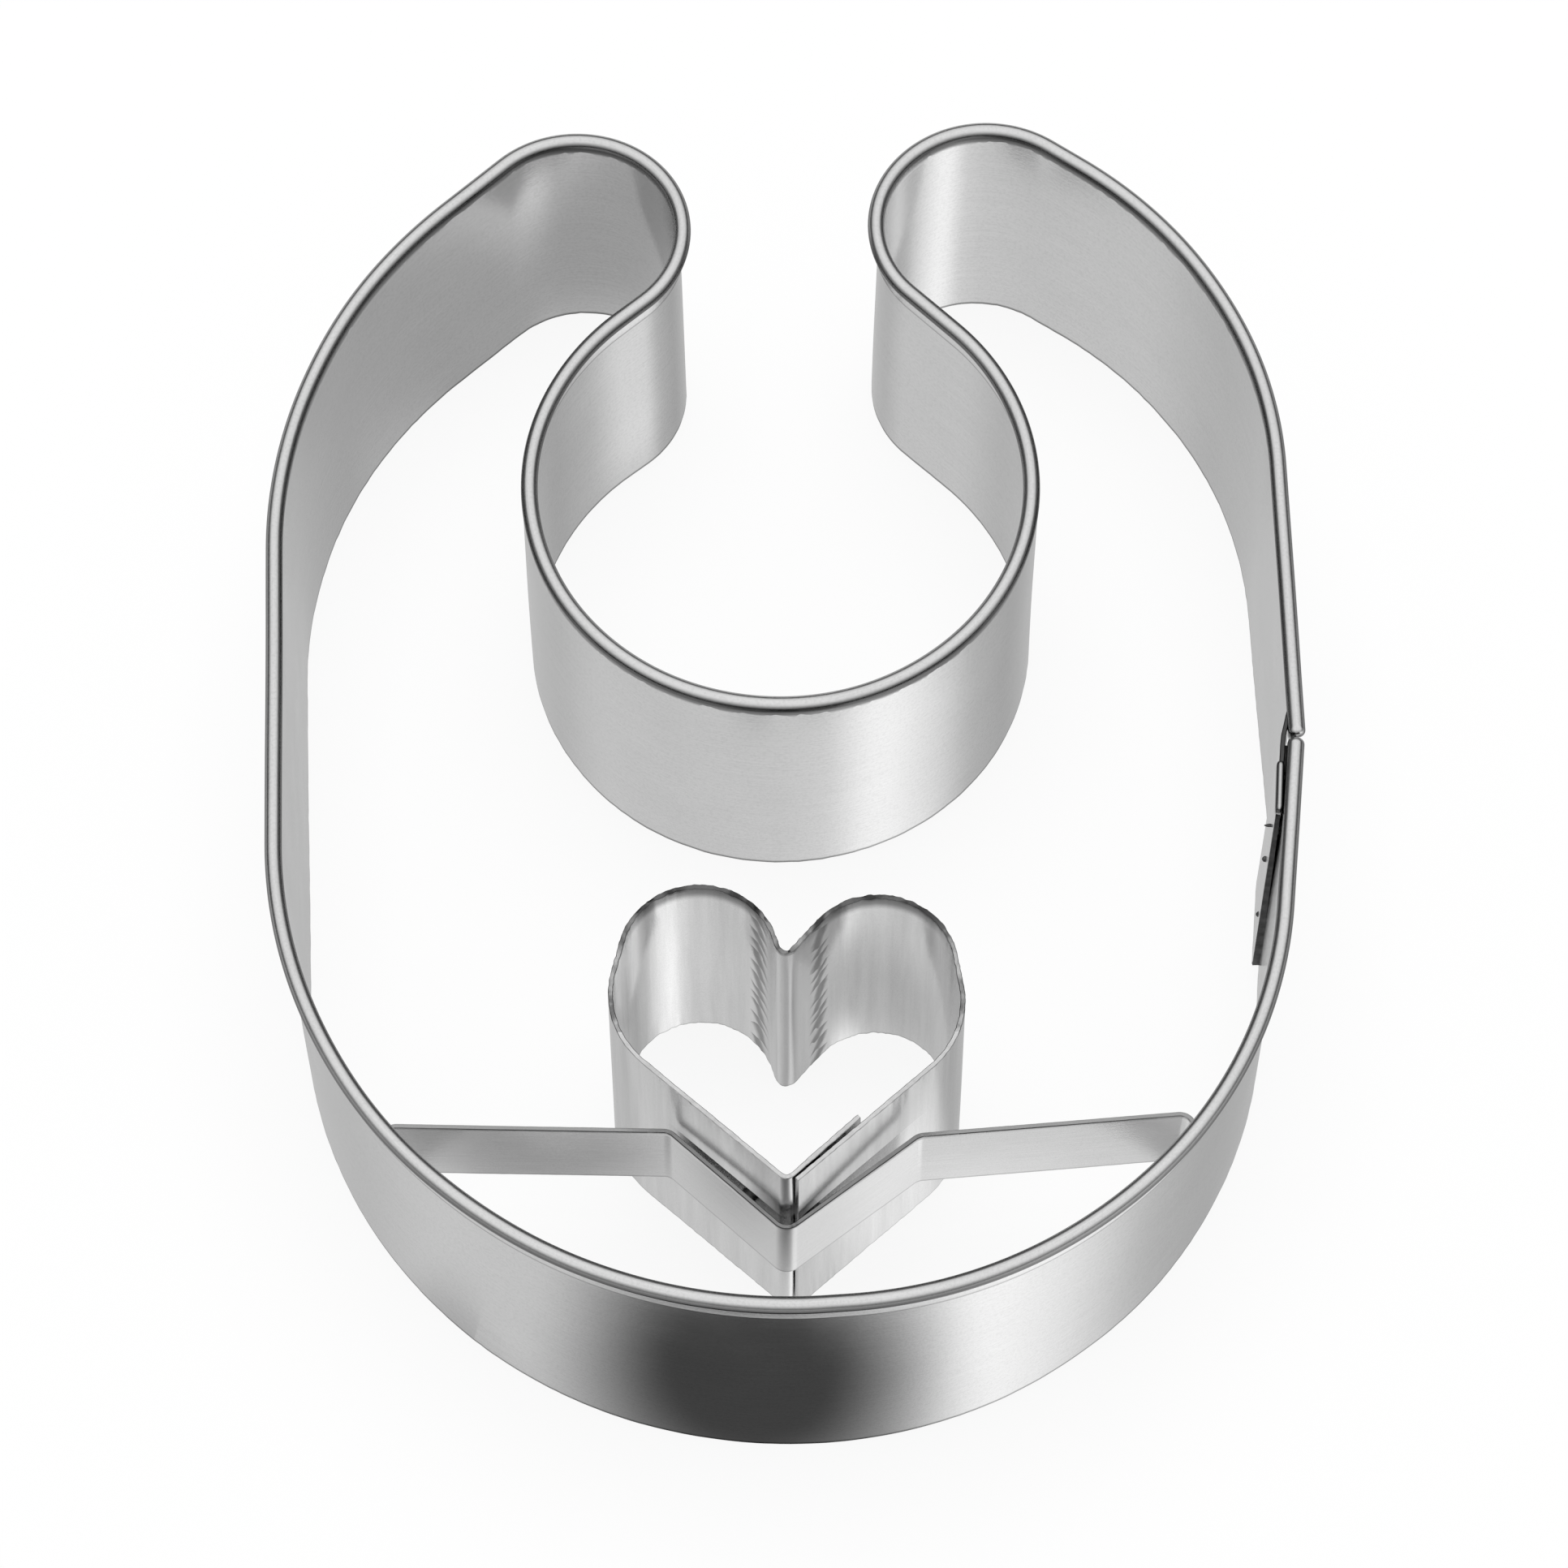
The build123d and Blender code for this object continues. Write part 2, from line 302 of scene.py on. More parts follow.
def marks_and_painted_shade(material):
    """Adds to the heart's satin strip the teeth its former left beside the cleft, a line of painted shade
    down the cleft, painted shadow under the lobes' crowns, and a dark top edge that is partly dull
    sheared metal and partly painted shade. The eye gets a ragged row of dark teeth on each lobe, a
    dark line down the cleft and darker crowns."""
    tree = material.node_tree
    shader = next(node for node in tree.nodes if node.type == "BSDF_PRINCIPLED")
    where = add(tree, "ShaderNodeTexCoord")
    place = add(tree, "ShaderNodeSeparateXYZ", links={"Vector": where.outputs["Object"]})
    lobes = add(tree, "ShaderNodeMath", {"operation": "GREATER_THAN", 1: MARKS_FROM_Y * MM},
                {0: place.outputs["Y"]})

    off_middle = add(tree, "ShaderNodeMath", {"operation": "SUBTRACT", 1: MARKS_MIDDLE * MM},
                     {0: place.outputs["X"]})
    aside = add(tree, "ShaderNodeMath", {"operation": "ABSOLUTE"}, {0: off_middle.outputs[0]})
    count = add(tree, "ShaderNodeMath", {"operation": "MULTIPLY", 1: 1 / (TEETH_PITCH * MM)},
                {0: place.outputs["Z"]})
    ragged = add(tree, "ShaderNodeTexNoise", {"Scale": 1 / (2.5 * MM), "Detail": 2.0},
                 {"Vector": where.outputs["Object"]})
    wander = add(tree, "ShaderNodeMath", {"operation": "MULTIPLY_ADD", 1: TEETH_WANDER},
                 {0: ragged.outputs["Fac"], 2: count.outputs[0]})
    tooth = add(tree, "ShaderNodeMath", {"operation": "FRACT"}, {0: wander.outputs[0]})
    line = add(tree, "ShaderNodeMath", {"operation": "MULTIPLY_ADD", 1: TEETH_REACH * MM, 2: TEETH_ASIDE * MM},
               {0: tooth.outputs[0]})
    beyond = add(tree, "ShaderNodeMath", {"operation": "SUBTRACT"}, {0: aside.outputs[0], 1: line.outputs[0]})
    near = add(tree, "ShaderNodeMath", {"operation": "ABSOLUTE"}, {0: beyond.outputs[0]})
    scored = add(tree, "ShaderNodeMapRange",
                 {"interpolation_type": "SMOOTHSTEP", "From Min": TEETH_WIDTH[0] * MM,
                  "From Max": TEETH_WIDTH[1] * MM, "To Min": 1.0, "To Max": 0.0}, {"Value": near.outputs[0]})
    # Painted shade down the cleft, a dark line either side of the middle.
    fold = add(tree, "ShaderNodeMapRange",
               {"interpolation_type": "SMOOTHSTEP", "From Min": CLEFT_SHADE_WIDTH[0] * MM,
                "From Max": CLEFT_SHADE_WIDTH[1] * MM, "To Min": CLEFT_SHADE_STRENGTH, "To Max": 0.0},
               {"Value": aside.outputs[0]})
    either = add(tree, "ShaderNodeMath", {"operation": "MAXIMUM"},
                 {0: scored.outputs["Result"], 1: fold.outputs["Result"]})
    shown = add(tree, "ShaderNodeMath", {"operation": "MULTIPLY"}, {0: either.outputs[0], 1: lobes.outputs[0]})
    marks_and_shade = add(tree, "ShaderNodeValToRGB", {"stops": [(0.0, 1.0), (1.0, MARKS_AND_SHADE_TONE)]},
                 {"Fac": shown.outputs[0]})

    # Painted shadow under the lobes' crowns, just below the upper edge.
    crown = add(tree, "ShaderNodeMapRange", {"From Min": CROWN_FROM_Y * MM, "From Max": CROWN_TO_Y * MM},
                {"Value": place.outputs["Y"]})
    below_edge = add(tree, "ShaderNodeMapRange",
                     {"interpolation_type": "SMOOTHSTEP", "From Min": (EDGE_HEIGHT - CROWN_DROP) * MM,
                      "From Max": EDGE_HEIGHT * MM}, {"Value": place.outputs["Z"]})
    under = add(tree, "ShaderNodeMath", {"operation": "MULTIPLY"},
                {0: crown.outputs["Result"], 1: below_edge.outputs["Result"]})
    crown_shadow = add(tree, "ShaderNodeValToRGB", {"stops": [(0.0, 1.0), (1.0, CROWN_SHADOW_TONE)]},
                  {"Fac": under.outputs[0]})

    top = add(tree, "ShaderNodeMapRange",
              {"From Min": EDGE_HEIGHT * MM, "From Max": (EDGE_HEIGHT + EDGE_FADE) * MM},
              {"Value": place.outputs["Z"]})
    sheared = add(tree, "ShaderNodeTexNoise", {"Scale": 1 / (1.3 * MM), "Detail": 4.0},
                  {"Vector": where.outputs["Object"]})
    # Darker top edge: partly dull sheared metal, partly painted shade.
    dull = add(tree, "ShaderNodeValToRGB", {"stops": [(0.38, 0.3), (0.58, 0.8)]},
               {"Fac": sheared.outputs["Fac"]})
    lobe_edge = add(tree, "ShaderNodeMath", {"operation": "MULTIPLY"},
                    {0: top.outputs["Result"], 1: lobes.outputs[0]})
    edge = add(tree, "ShaderNodeMix", {"data_type": "RGBA", 6: (1, 1, 1, 1)},
               {0: lobe_edge.outputs[0], 7: dull.outputs["Color"]})

    plain = shader.inputs["Base Color"].links[0].from_socket
    tint = layered(tree, plain, [crown_shadow.outputs["Color"], marks_and_shade.outputs["Color"], edge.outputs[2]])
    tree.links.new(tint, shader.inputs["Base Color"])


def weld_metal_and_seam_shade(name, darkest, lightest):
    """Stainless steel that was heated or fused by a resistance spot weld, and near-black painted shade in the
    seam.
    The eye sees it as blotchy, rougher and duller than the sheet, without any grain."""
    material, tree, out = fresh_material(name)
    where = add(tree, "ShaderNodeTexCoord")
    heat = add(tree, "ShaderNodeTexNoise", {"Scale": 1 / (0.6 * MM), "Detail": 3.0},
               {"Vector": where.outputs["Object"]})
    tone = add(tree, "ShaderNodeValToRGB", {"stops": [(0.3, darkest), (0.7, lightest)]},
               {"Fac": heat.outputs["Fac"]})
    bump = add(tree, "ShaderNodeBump", {"Strength": 0.6, "Distance": 0.05 * MM},
               {"Height": heat.outputs["Fac"]})
    shader = add(tree, "ShaderNodeBsdfPrincipled", {"Metallic": 1.0, "Roughness": 0.5},
                 {"Base Color": tone.outputs["Color"], "Normal": bump.outputs["Normal"]})
    tree.links.new(shader.outputs["BSDF"], out.inputs["Surface"])
    return material


def meeting(first, second):
    """Heading and touching points of the straight between two pegs."""
    run_x, run_y = second[0] - first[0], second[1] - first[1]
    length = math.hypot(run_x, run_y)
    heading = math.atan2(run_y, run_x) + math.asin((first[2] - second[2]) / length)
    leave = (first[0] + first[2] * math.sin(heading), first[1] - first[2] * math.cos(heading))
    reach = (second[0] + second[2] * math.sin(heading), second[1] - second[2] * math.cos(heading))
    return heading, leave, reach


def stretches(pegs):
    """The straights and bends of a strip's middle line, in order."""
    straights = [meeting(a, b) for a, b in zip(pegs[:-1], pegs[1:])]
    found = [("straight", straights[0])]
    for peg, before, after in zip(pegs[1:-1], straights[:-1], straights[1:]):
        turn = (after[0] - before[0]) % (2 * math.pi)
        if peg[2] < 0:
            turn -= 2 * math.pi
        found.append(("bend", (peg, before[0], turn)))
        found.append(("straight", after))
    return found


def step_count(stretch, spacing):
    """Number of steps that a straight or bend is divided into."""
    kind, data = stretch
    if kind == "straight":
        length = math.dist(data[1], data[2])
        return max(1, round(length / spacing))
    peg, start, turn = data
    return max(4, round(abs(peg[2] * turn) / spacing), round(math.degrees(abs(turn)) / 3))


def run_points(pegs, counts):
    """Points and outward normals along a strip's middle line: (x, y, normal x, normal y)."""
    points = []
    for (kind, data), count in zip(stretches(pegs), counts):
        for i in range(count):
            share = i / count
            if kind == "straight":
                heading, leave, reach = data
                x = leave[0] + share * (reach[0] - leave[0])
                y = leave[1] + share * (reach[1] - leave[1])
            else:
                peg, start, turn = data
                heading = start + share * turn
                x = peg[0] + peg[2] * math.sin(heading)
                y = peg[1] - peg[2] * math.cos(heading)
            points.append((x, y, math.sin(heading), -math.cos(heading)))
    heading, leave, reach = stretches(pegs)[-1][1]
    points.append((reach[0], reach[1], math.sin(heading), -math.cos(heading)))
    return points


def rounded_outline(outline, top, steps):
    """Closed outline of a folded edge made smooth, as (outward, up), and the distance round to each point."""
    count = len(outline)
    line = []
    for i in range(count):
        corners = [outline[(i + k) % count] for k in (-1, 0, 1, 2)]
        p0, p1, p2, p3 = [Vector((out, top - below)) for out, below, tone in corners]
        for k in range(steps):
            t = k / steps
            line.append(0.5 * (2 * p1 + (p2 - p0) * t + (2 * p0 - 5 * p1 + 4 * p2 - p3) * t ** 2
                               + (3 * p1 - p0 - 3 * p2 + p3) * t ** 3))
    around = [0.0]
    for before, after in zip(line[:-1], line[1:]):
        around.append(around[-1] + (after - before).length)
    return line, around


def wall_section(height, base, thickness, edge, rows):
    """Closed outline of an upright sheet's section, with its corners cut back by edge: (outward, up)."""
    half = thickness / 2
    ups = [base + edge + (height - base - 2 * edge) * i / rows for i in range(rows + 1)]
    inner = [(-half + edge, base)] + [(-half, z) for z in ups] + [(-half + edge, height)]
    outer = [(half - edge, height)] + [(half, z) for z in reversed(ups)] + [(half - edge, base)]
    return [Vector(corner) for corner in inner + outer]


def inside_box(place):
    """A point kept inside the CAD model's box."""
    return tuple(min(max(value, low), high) for value, low, high in zip(place, *CAD_BOX))


def closer_ends(points, parts):
    """A run's points with its first and last gaps divided, for a rounded end."""
    first, last = points[:2], points[-2:]
    divided = []
    for before, after in (first, last):
        divided.append([tuple(p + k / parts * (q - p) for p, q in zip(before, after)) for k in range(parts)])
    return divided[0] + list(points[1:-2]) + divided[1] + [points[-1]]


def swept(name, low_pegs, high_pegs, section, across_coords, spacing, waviness, burr=0.0, burr_reach=1.0,
          round_end=None):
    """Closed mesh of a section carried along a strip's run, with the unevenness of bending by hand.
    With round_end, (outward, up, length), the section shrinks to that middle at both ends."""
    counts = [step_count(s, spacing) for s in stretches(high_pegs)]
    low = run_points(low_pegs, counts)
    high = run_points(high_pegs, counts)
    if round_end:
        low, high = closer_ends(low, END_PARTS), closer_ends(high, END_PARTS)
    bottom = min(p.y for p in section)
    top = max(p.y for p in section)
    travelled = [0.0]
    for before, after in zip(high[:-1], high[1:]):
        travelled.append(travelled[-1] + math.dist(before[:2], after[:2]))
    vertices, coords = [], []
    for i, (a, b) in enumerate(zip(low, high)):
        full = 1.0
        if round_end:
            near = min(1.0, min(travelled[i], travelled[-1] - travelled[i]) / round_end[2])
            full = END_SHARE + (1 - END_SHARE) * math.sqrt(1 - (1 - near) ** 2)
        for (out, up), across_coord in zip(section, across_coords):
            if round_end:
                out, up = round_end[0] + full * (out - round_end[0]), round_end[1] + full * (up - round_end[1])
            share = up / LEAN_HEIGHT
            x, y, nx, ny = [p + share * (q - p) for p, q in zip(a, b)]
            push = out + waviness * noise.noise(Vector((x / WAVE_ALONG, y / WAVE_ALONG, up / WAVE_UP)))
            if burr:
                near_edge = max(0.0, 1 - min(up - bottom, top - up) / burr_reach)
                spot = Vector((travelled[i] / BURR_GRAIN, out * BURR_ACROSS, bottom + 7))
                rough = burr * near_edge * noise.noise(spot)
                push += rough
                up += rough
            place = ((x + nx * push + MIDDLE_X) * MM, (y + ny * push + MIDDLE_Y) * MM, up * MM)
            vertices.append(inside_box(place))
            coords.append((travelled[i] * MM, across_coord * MM))
    across = len(section)
    faces, corners = [], []
    for i in range(len(high) - 1):
        for k in range(across):
            m = (k + 1) % across
            faces.append((i * across + k, i * across + m, (i + 1) * across + m, (i + 1) * across + k))
            upper = across_coords[k] + math.dist(section[k], section[m]) if m == 0 and k else across_coords[m]
            corners += [coords[i * across + k], (coords[i * across + m][0], upper * MM),
                        (coords[(i + 1) * across + m][0], upper * MM), coords[(i + 1) * across + k]]
    last = (len(high) - 1) * across
    for cap in (tuple(range(across))[::-1], tuple(last + k for k in range(across))):
        faces.append(cap)
        corners += [coords[k] for k in cap]
    mesh = bpy.data.meshes.new(name)
    mesh.from_pydata(vertices, [], faces)
    layer = mesh.uv_layers.new(name="strip")
    for corner, coord in zip(layer.data, corners):
        corner.uv = coord
    mesh.shade_smooth()
    mesh.set_sharp_from_angle(angle=math.radians(SHARP_ANGLE))
    mesh.update()
    return mesh


def wall(name, low_pegs, high_pegs, base, height, thickness, edge, spacing, waviness, burr, burr_reach):
    """Mesh of an upright strip of sheet from base to height, in millimetres."""
    section = wall_section(height, base, thickness, edge, SECTION_ROWS)
    heights = [corner.y for corner in section]
    return swept(name, low_pegs, high_pegs, section, heights, spacing, waviness, burr, burr_reach)


def joined(name, meshes):
    """One object made of several meshes, each with its own material."""
    objects = []
    for mesh, material in meshes:
        mesh.materials.append(material)
        piece = bpy.data.objects.new(name, mesh)
        bpy.context.scene.collection.objects.link(piece)
        objects.append(piece)
    if len(objects) > 1:
        with bpy.context.temp_override(active_object=objects[0], selected_editable_objects=objects,
                                       object=objects[0], selected_objects=objects):
            bpy.ops.object.join()
    objects[0].name = name
    return objects[0]


def settle(piece, node=None):
    """Fixes a finished piece to the cutter, in place of its CAD node where it has one."""
    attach(piece, "root")
    if node:
        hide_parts(node)


def tongue_face(y, z):
    """Distance across, in millimetres, to the middle of the tucked-in end's sheet."""
    spots = []
    for pegs in (BAND_LOW, BAND_HIGH):
        leave, reach = meeting(pegs[0], pegs[1])[1:]
        share = (y - leave[1]) / (reach[1] - leave[1])
        spots.append(leave[0] + share * (reach[0] - leave[0]))
    return spots[0] + z / LEAN_HEIGHT * (spots[1] - spots[0])


def weld_burr(name, x, y, z, radius, proud):
    """Mesh of an uneven pip of squeezed-out metal on a face that looks to -X."""
    around, rings = 20, 7
    vertices, faces = [], []
    for i in range(rings):
        rise = math.pi / 2 * i / (rings - 0.6)
        for k in range(around):
            angle = 2 * math.pi * k / around
            uneven = 1 + 0.3 * noise.noise(Vector((math.cos(angle) * 1.3, math.sin(angle) * 1.3, y + i * 0.4)))
            reach = radius * math.cos(rise) * uneven
            vertices.append(((x + BURR_SINK - (proud + BURR_SINK) * math.sin(rise) + MIDDLE_X) * MM,
                             (y + reach * math.cos(angle) + MIDDLE_Y) * MM, (z + reach * math.sin(angle)) * MM))
    for i in range(rings - 1):
        for k in range(around):
            m = (k + 1) % around
            faces.append((i * around + k, i * around + m, (i + 1) * around + m, (i + 1) * around + k))
    faces.append(tuple(range(around))[::-1])
    faces.append(tuple((rings - 1) * around + k for k in range(around)))
    mesh = bpy.data.meshes.new(name)
    mesh.from_pydata(vertices, [], faces)
    mesh.uv_layers.new(name="strip")
    mesh.shade_smooth()
    return mesh


class CutterSizes(bpy.types.PropertyGroup):
    """Sizes of the strips, in millimetres"""
    sheet: bpy.props.FloatProperty(
        name="Sheet", description="Thickness of the strip in mm", default=0.3, min=0.1)
    height: bpy.props.FloatProperty(
        name="Height", description="Height of the outer strip in mm", default=20.4, min=5.0)
    heart_height: bpy.props.FloatProperty(
        name="Heart height", description="Height of the heart in mm", default=18.9, min=5.0)
    strap_top: bpy.props.FloatProperty(
        name="Strap top", description="Upper edge of the strap in mm", default=13.7, min=1.0)
    strap_bottom: bpy.props.FloatProperty(
        name="Strap bottom", description="Lower edge of the strap in mm", default=7.2, min=0.0)
    waviness: bpy.props.FloatProperty(
        name="Waviness", description="Unevenness of the bent walls in mm", default=0.05, min=0.0)
    burr: bpy.props.FloatProperty(
        name="Burr", description="Roughness of the cut edges in mm", default=0.05, min=0.0)


class CutterLooks(bpy.types.PropertyGroup):
    """Colours and blur of the metal"""
    band: bpy.props.StringProperty(
        name="Band", description="sRGB hex colour of the outer strip", default="DADADA")
    roll: bpy.props.StringProperty(
        name="Rolled edge", description="sRGB hex colour of the rolled edge", default="E3E3E3")
    heart: bpy.props.StringProperty(
        name="Heart", description="sRGB hex colour of the heart", default="DCDCDC")
    strap: bpy.props.StringProperty(
        name="Strap", description="sRGB hex colour of the strap", default="D9D9D9")
    roughness: bpy.props.FloatProperty(
        name="Roughness", description="Blur of the reflections in the outer strip and the strap",
        default=0.17, min=0.0, max=1.0, subtype="FACTOR")
    heart_roughness: bpy.props.FloatProperty(
        name="Heart roughness", description="Blur of the reflections in the heart",
        default=0.16, min=0.0, max=1.0, subtype="FACTOR")
    roll_roughness: bpy.props.FloatProperty(
        name="Rolled edge roughness", description="Blur of the reflections in the rolled edge",
        default=0.2, min=0.0, max=1.0, subtype="FACTOR")


class CUTTER_OT_outer_band(bpy.types.Operator):
    """Builds the bib-shaped outer strip with its rolled edge"""
    bl_idname = "cutter.outer_band"
    bl_label = "Outer band"

    def execute(self, context):
        sizes, looks = context.scene.cutter_sizes, context.scene.cutter_looks
        # Painted shade, partly dull cut metal, darkens the strip's cutting edge and its top edge where the
        # tucked-in end shows.
        shade_tones = [(0.0, 0.2), (0.010, 0.4), (0.016, 1.0), (0.958, 1.0), (0.966, 0.12)]
        satin = satin_stainless("satin_rolled_stainless_band", looks.band, looks.roughness, grain_mm=0.2,
                                streaks=(150, 9000, 1), height=sizes.height, shade_tones=shade_tones)
        # The lip and the fill in the seam are near-black painted shade of the slit between the sheets.
        seam_shade = weld_metal_and_seam_shade("seam_shade_steel", darkest=0.04, lightest=0.1)
        sheet = wall("outer_wall", BAND_LOW, BAND_HIGH, base=0.0, height=sizes.height - WALL_DROP,
                     thickness=sizes.sheet, edge=0.05, spacing=0.5, waviness=sizes.waviness,
                     burr=sizes.burr * 0.5, burr_reach=0.25)
        lip = wall("seam_lip", LIP_LOW, LIP_HIGH, base=0.0, height=sizes.height - LIP_DROP,
                   thickness=0.1, edge=0.02, spacing=0.1, waviness=0.0, burr=sizes.burr, burr_reach=0.3)
        fill = wall("seam_fill", FILL_LOW, FILL_HIGH, base=FILL_BASE, height=sizes.height - FILL_DROP,
                    thickness=0.2, edge=0.02, spacing=0.2, waviness=0.0, burr=sizes.burr, burr_reach=0.3)
        meshes = [(sheet, satin), (lip, seam_shade), (fill, seam_shade)]
        folds = (("rolled_edge", ROLL_RUN, ROLL_OUTLINE, ROLL_CENTRE),
                 ("tucked_hem", TONGUE_HEM_RUN, TONGUE_HEM_OUTLINE, TONGUE_HEM_CENTRE))
        for name, run, outline, centre in folds:
            section, around = rounded_outline(outline, sizes.height, OUTLINE_STEPS)
            girth = around[-1] + (section[0] - section[-1]).length
            stops = [(around[i * OUTLINE_STEPS] / girth, outline[i][2]) for i in range(len(outline))]
            # The folded edge's section carries painted shade on its crease and flanks, so the eye gets a bright
            # crown between dark flanks.
            fold_metal_with_painted_shade = satin_stainless("stainless_with_painted_shade_" + name, looks.roll, looks.roll_roughness,
                                        grain_mm=0.2, streaks=(120, 9000, 1), height=girth,
                                        shade_tones=stops + [(1.0, outline[0][2])])
            round_end = (centre[0], sizes.height - centre[1], ROUND_END)
            fold = swept(name, run, run, section, around, spacing=0.4, waviness=sizes.waviness,
                         round_end=round_end)
            meshes.append((fold, fold_metal_with_painted_shade))
        piece = joined("outer_band_strip", meshes)
        settle(piece, "outer_band")
        return {"FINISHED"}


class CUTTER_OT_heart(bpy.types.Operator):
    """Builds the heart strip inside the bib"""
    bl_idname = "cutter.heart"
    bl_label = "Heart"

    def execute(self, context):
        sizes, looks = context.scene.cutter_sizes, context.scene.cutter_looks
        mesh = wall("heart", HEART_RUN, HEART_RUN, base=0.0, height=sizes.heart_height,
                    thickness=sizes.sheet, edge=0.04, spacing=0.16, waviness=sizes.waviness * 0.6,
                    burr=sizes.burr, burr_reach=0.3)
        # Painted shade, partly dull cut metal, darkens the heart's cutting edge.
        material = satin_stainless("satin_rolled_stainless_heart", looks.heart, looks.heart_roughness,
                                   grain_mm=0.10, streaks=(900, 40, 1), height=sizes.heart_height,
                                   shade_tones=[(0.0, 0.4), (0.012, 1.0)], streak_tone=(0.86, 1.0))
        marks_and_painted_shade(material)
        settle(joined("heart_strip", [(mesh, material)]), "heart_band")
        return {"FINISHED"}


class CUTTER_OT_strap(bpy.types.Operator):
    """Builds the bent strap that holds the heart"""
    bl_idname = "cutter.strap"
    bl_label = "Bridge strap"

    def execute(self, context):
        sizes, looks = context.scene.cutter_sizes, context.scene.cutter_looks
        share = (sizes.strap_top + sizes.strap_bottom) / 2 / LEAN_HEIGHT
        ends = []
        corners = (STRAP_LEFT_CORNER, STRAP_RIGHT_CORNER)
        for corner, turn, peg in zip(corners, (STRAP_TAB_ANGLE, -STRAP_TAB_ANGLE), FRONT_PEGS):
            x, y, radius = [a + share * (b - a) for a, b in zip(BAND_LOW[peg], BAND_HIGH[peg])]
            radius -= sizes.sheet + STRAP_WALL_GAP
            angle = math.atan2(corner[1] - y, corner[0] - x) + math.radians(turn)
            ends.append((x + radius * math.cos(angle), y + radius * math.sin(angle), 0))
        run = [ends[0], STRAP_LEFT_CORNER, STRAP_LEFT_BEND, STRAP_TIP, STRAP_RIGHT_BEND,
               STRAP_RIGHT_CORNER, ends[1]]
        mesh = wall("strap", run, run, base=sizes.strap_bottom, height=sizes.strap_top,
                    thickness=sizes.sheet, edge=0.05, spacing=0.3, waviness=sizes.waviness * 0.3,
                    burr=sizes.burr * 0.4, burr_reach=0.25)
        first, last = sizes.strap_bottom / sizes.height, sizes.strap_top / sizes.height
        # Painted shade, partly dull cut metal, darkens the strap's lower and upper edges.
        shade_tones = [(first, 0.4), (first + 0.012, 1.0), (last - 0.014, 1.0), (last, 0.55)]
        material = satin_stainless("satin_rolled_stainless_strap", looks.strap, looks.roughness,
                                   grain_mm=0.10, streaks=(200, 8000, 1), height=sizes.height,
                                   shade_tones=shade_tones)
        settle(joined("bridge_strap_strip", [(mesh, material)]), "bridge_strap")
        return {"FINISHED"}


class CUTTER_OT_welds(bpy.types.Operator):
    """Finishes the spot welds and adds the burrs they leave in the seam"""
    bl_idname = "cutter.welds"
    bl_label = "Spot welds"

    def execute(self, context):
        sizes = context.scene.cutter_sizes
        fused = weld_metal_and_seam_shade("spot_weld_steel", darkest=0.05, lightest=0.2)
        # Pressed between strap and heart, this metal stayed nearly as pale as the sheets beside it.
        pressed = weld_metal_and_seam_shade("pressed_weld_steel", darkest=0.35, lightest=0.6)
        for node, metal in (("band_seam_welds", fused), ("heart_seam_welds", fused),
                            ("strap_end_welds", fused), ("strap_heart_welds", pressed)):
            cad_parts[node].data.materials.clear()
            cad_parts[node].data.materials.append(metal)
        for number, (y, z, radius, proud) in enumerate(SEAM_BURRS, 1):
            face = tongue_face(y, z) - sizes.sheet / 2
            mesh = weld_burr("seam_burr", face, y, z, radius, proud)
            settle(joined("seam_weld_burr_%d" % number, [(mesh, fused)]))
        return {"FINISHED"}


def card(name, size, place, material):
    """Flat studio card that lies level."""
    half_x, half_y = size[0] / 2, size[1] / 2
    mesh = bpy.data.meshes.new(name)
    mesh.from_pydata([(-half_x, -half_y, 0), (half_x, -half_y, 0), (half_x, half_y, 0), (-half_x, half_y, 0)],
                     [], [(0, 1, 2, 3)])
    mesh.materials.append(material)
    piece = bpy.data.objects.new(name, mesh)
    bpy.context.scene.collection.objects.link(piece)
    piece.location = place
    return piece


def reflected_card(name, middle, size, turn, level):
    """Soft-edged level grey card that only the cutter's metal shows, with sizes and place in millimetres."""
    material, tree, out = fresh_material(name)
    where = add(tree, "ShaderNodeTexCoord")
    shares = (1 / (size[0] * MM), 1 / (size[1] * MM), 0)
    scaled = add(tree, "ShaderNodeVectorMath", {"operation": "MULTIPLY", 1: shares},
                 {0: where.outputs["Object"]})
    distance = add(tree, "ShaderNodeVectorMath", {"operation": "LENGTH"}, {0: scaled.outputs["Vector"]})
    cover = add(tree, "ShaderNodeMapRange",
                {"interpolation_type": "SMOOTHSTEP", "From Min": CARD_CORE, "From Max": CARD_RIM,
                 "To Min": 1.0, "To Max": 0.0}, {"Value": distance.outputs["Value"]})
    clear = add(tree, "ShaderNodeBsdfTransparent")
    glow = add(tree, "ShaderNodeEmission", {"Color": (level, level, level, 1), "Strength": 1.0})
    mixed = add(tree, "ShaderNodeMixShader",
                links={0: cover.outputs["Result"], 1: clear.outputs[0], 2: glow.outputs[0]})
    tree.links.new(mixed.outputs[0], out.inputs["Surface"])
    place = ((middle[0] + MIDDLE_X) * MM, (middle[1] + MIDDLE_Y) * MM, middle[2] * MM)
    piece = card(name, (size[0] * CARD_SPREAD * MM, size[1] * CARD_SPREAD * MM), place, material)
    piece.rotation_euler = (0, 0, math.radians(turn))
    piece.visible_camera = piece.visible_diffuse = piece.visible_shadow = piece.visible_transmission = False
    return piece


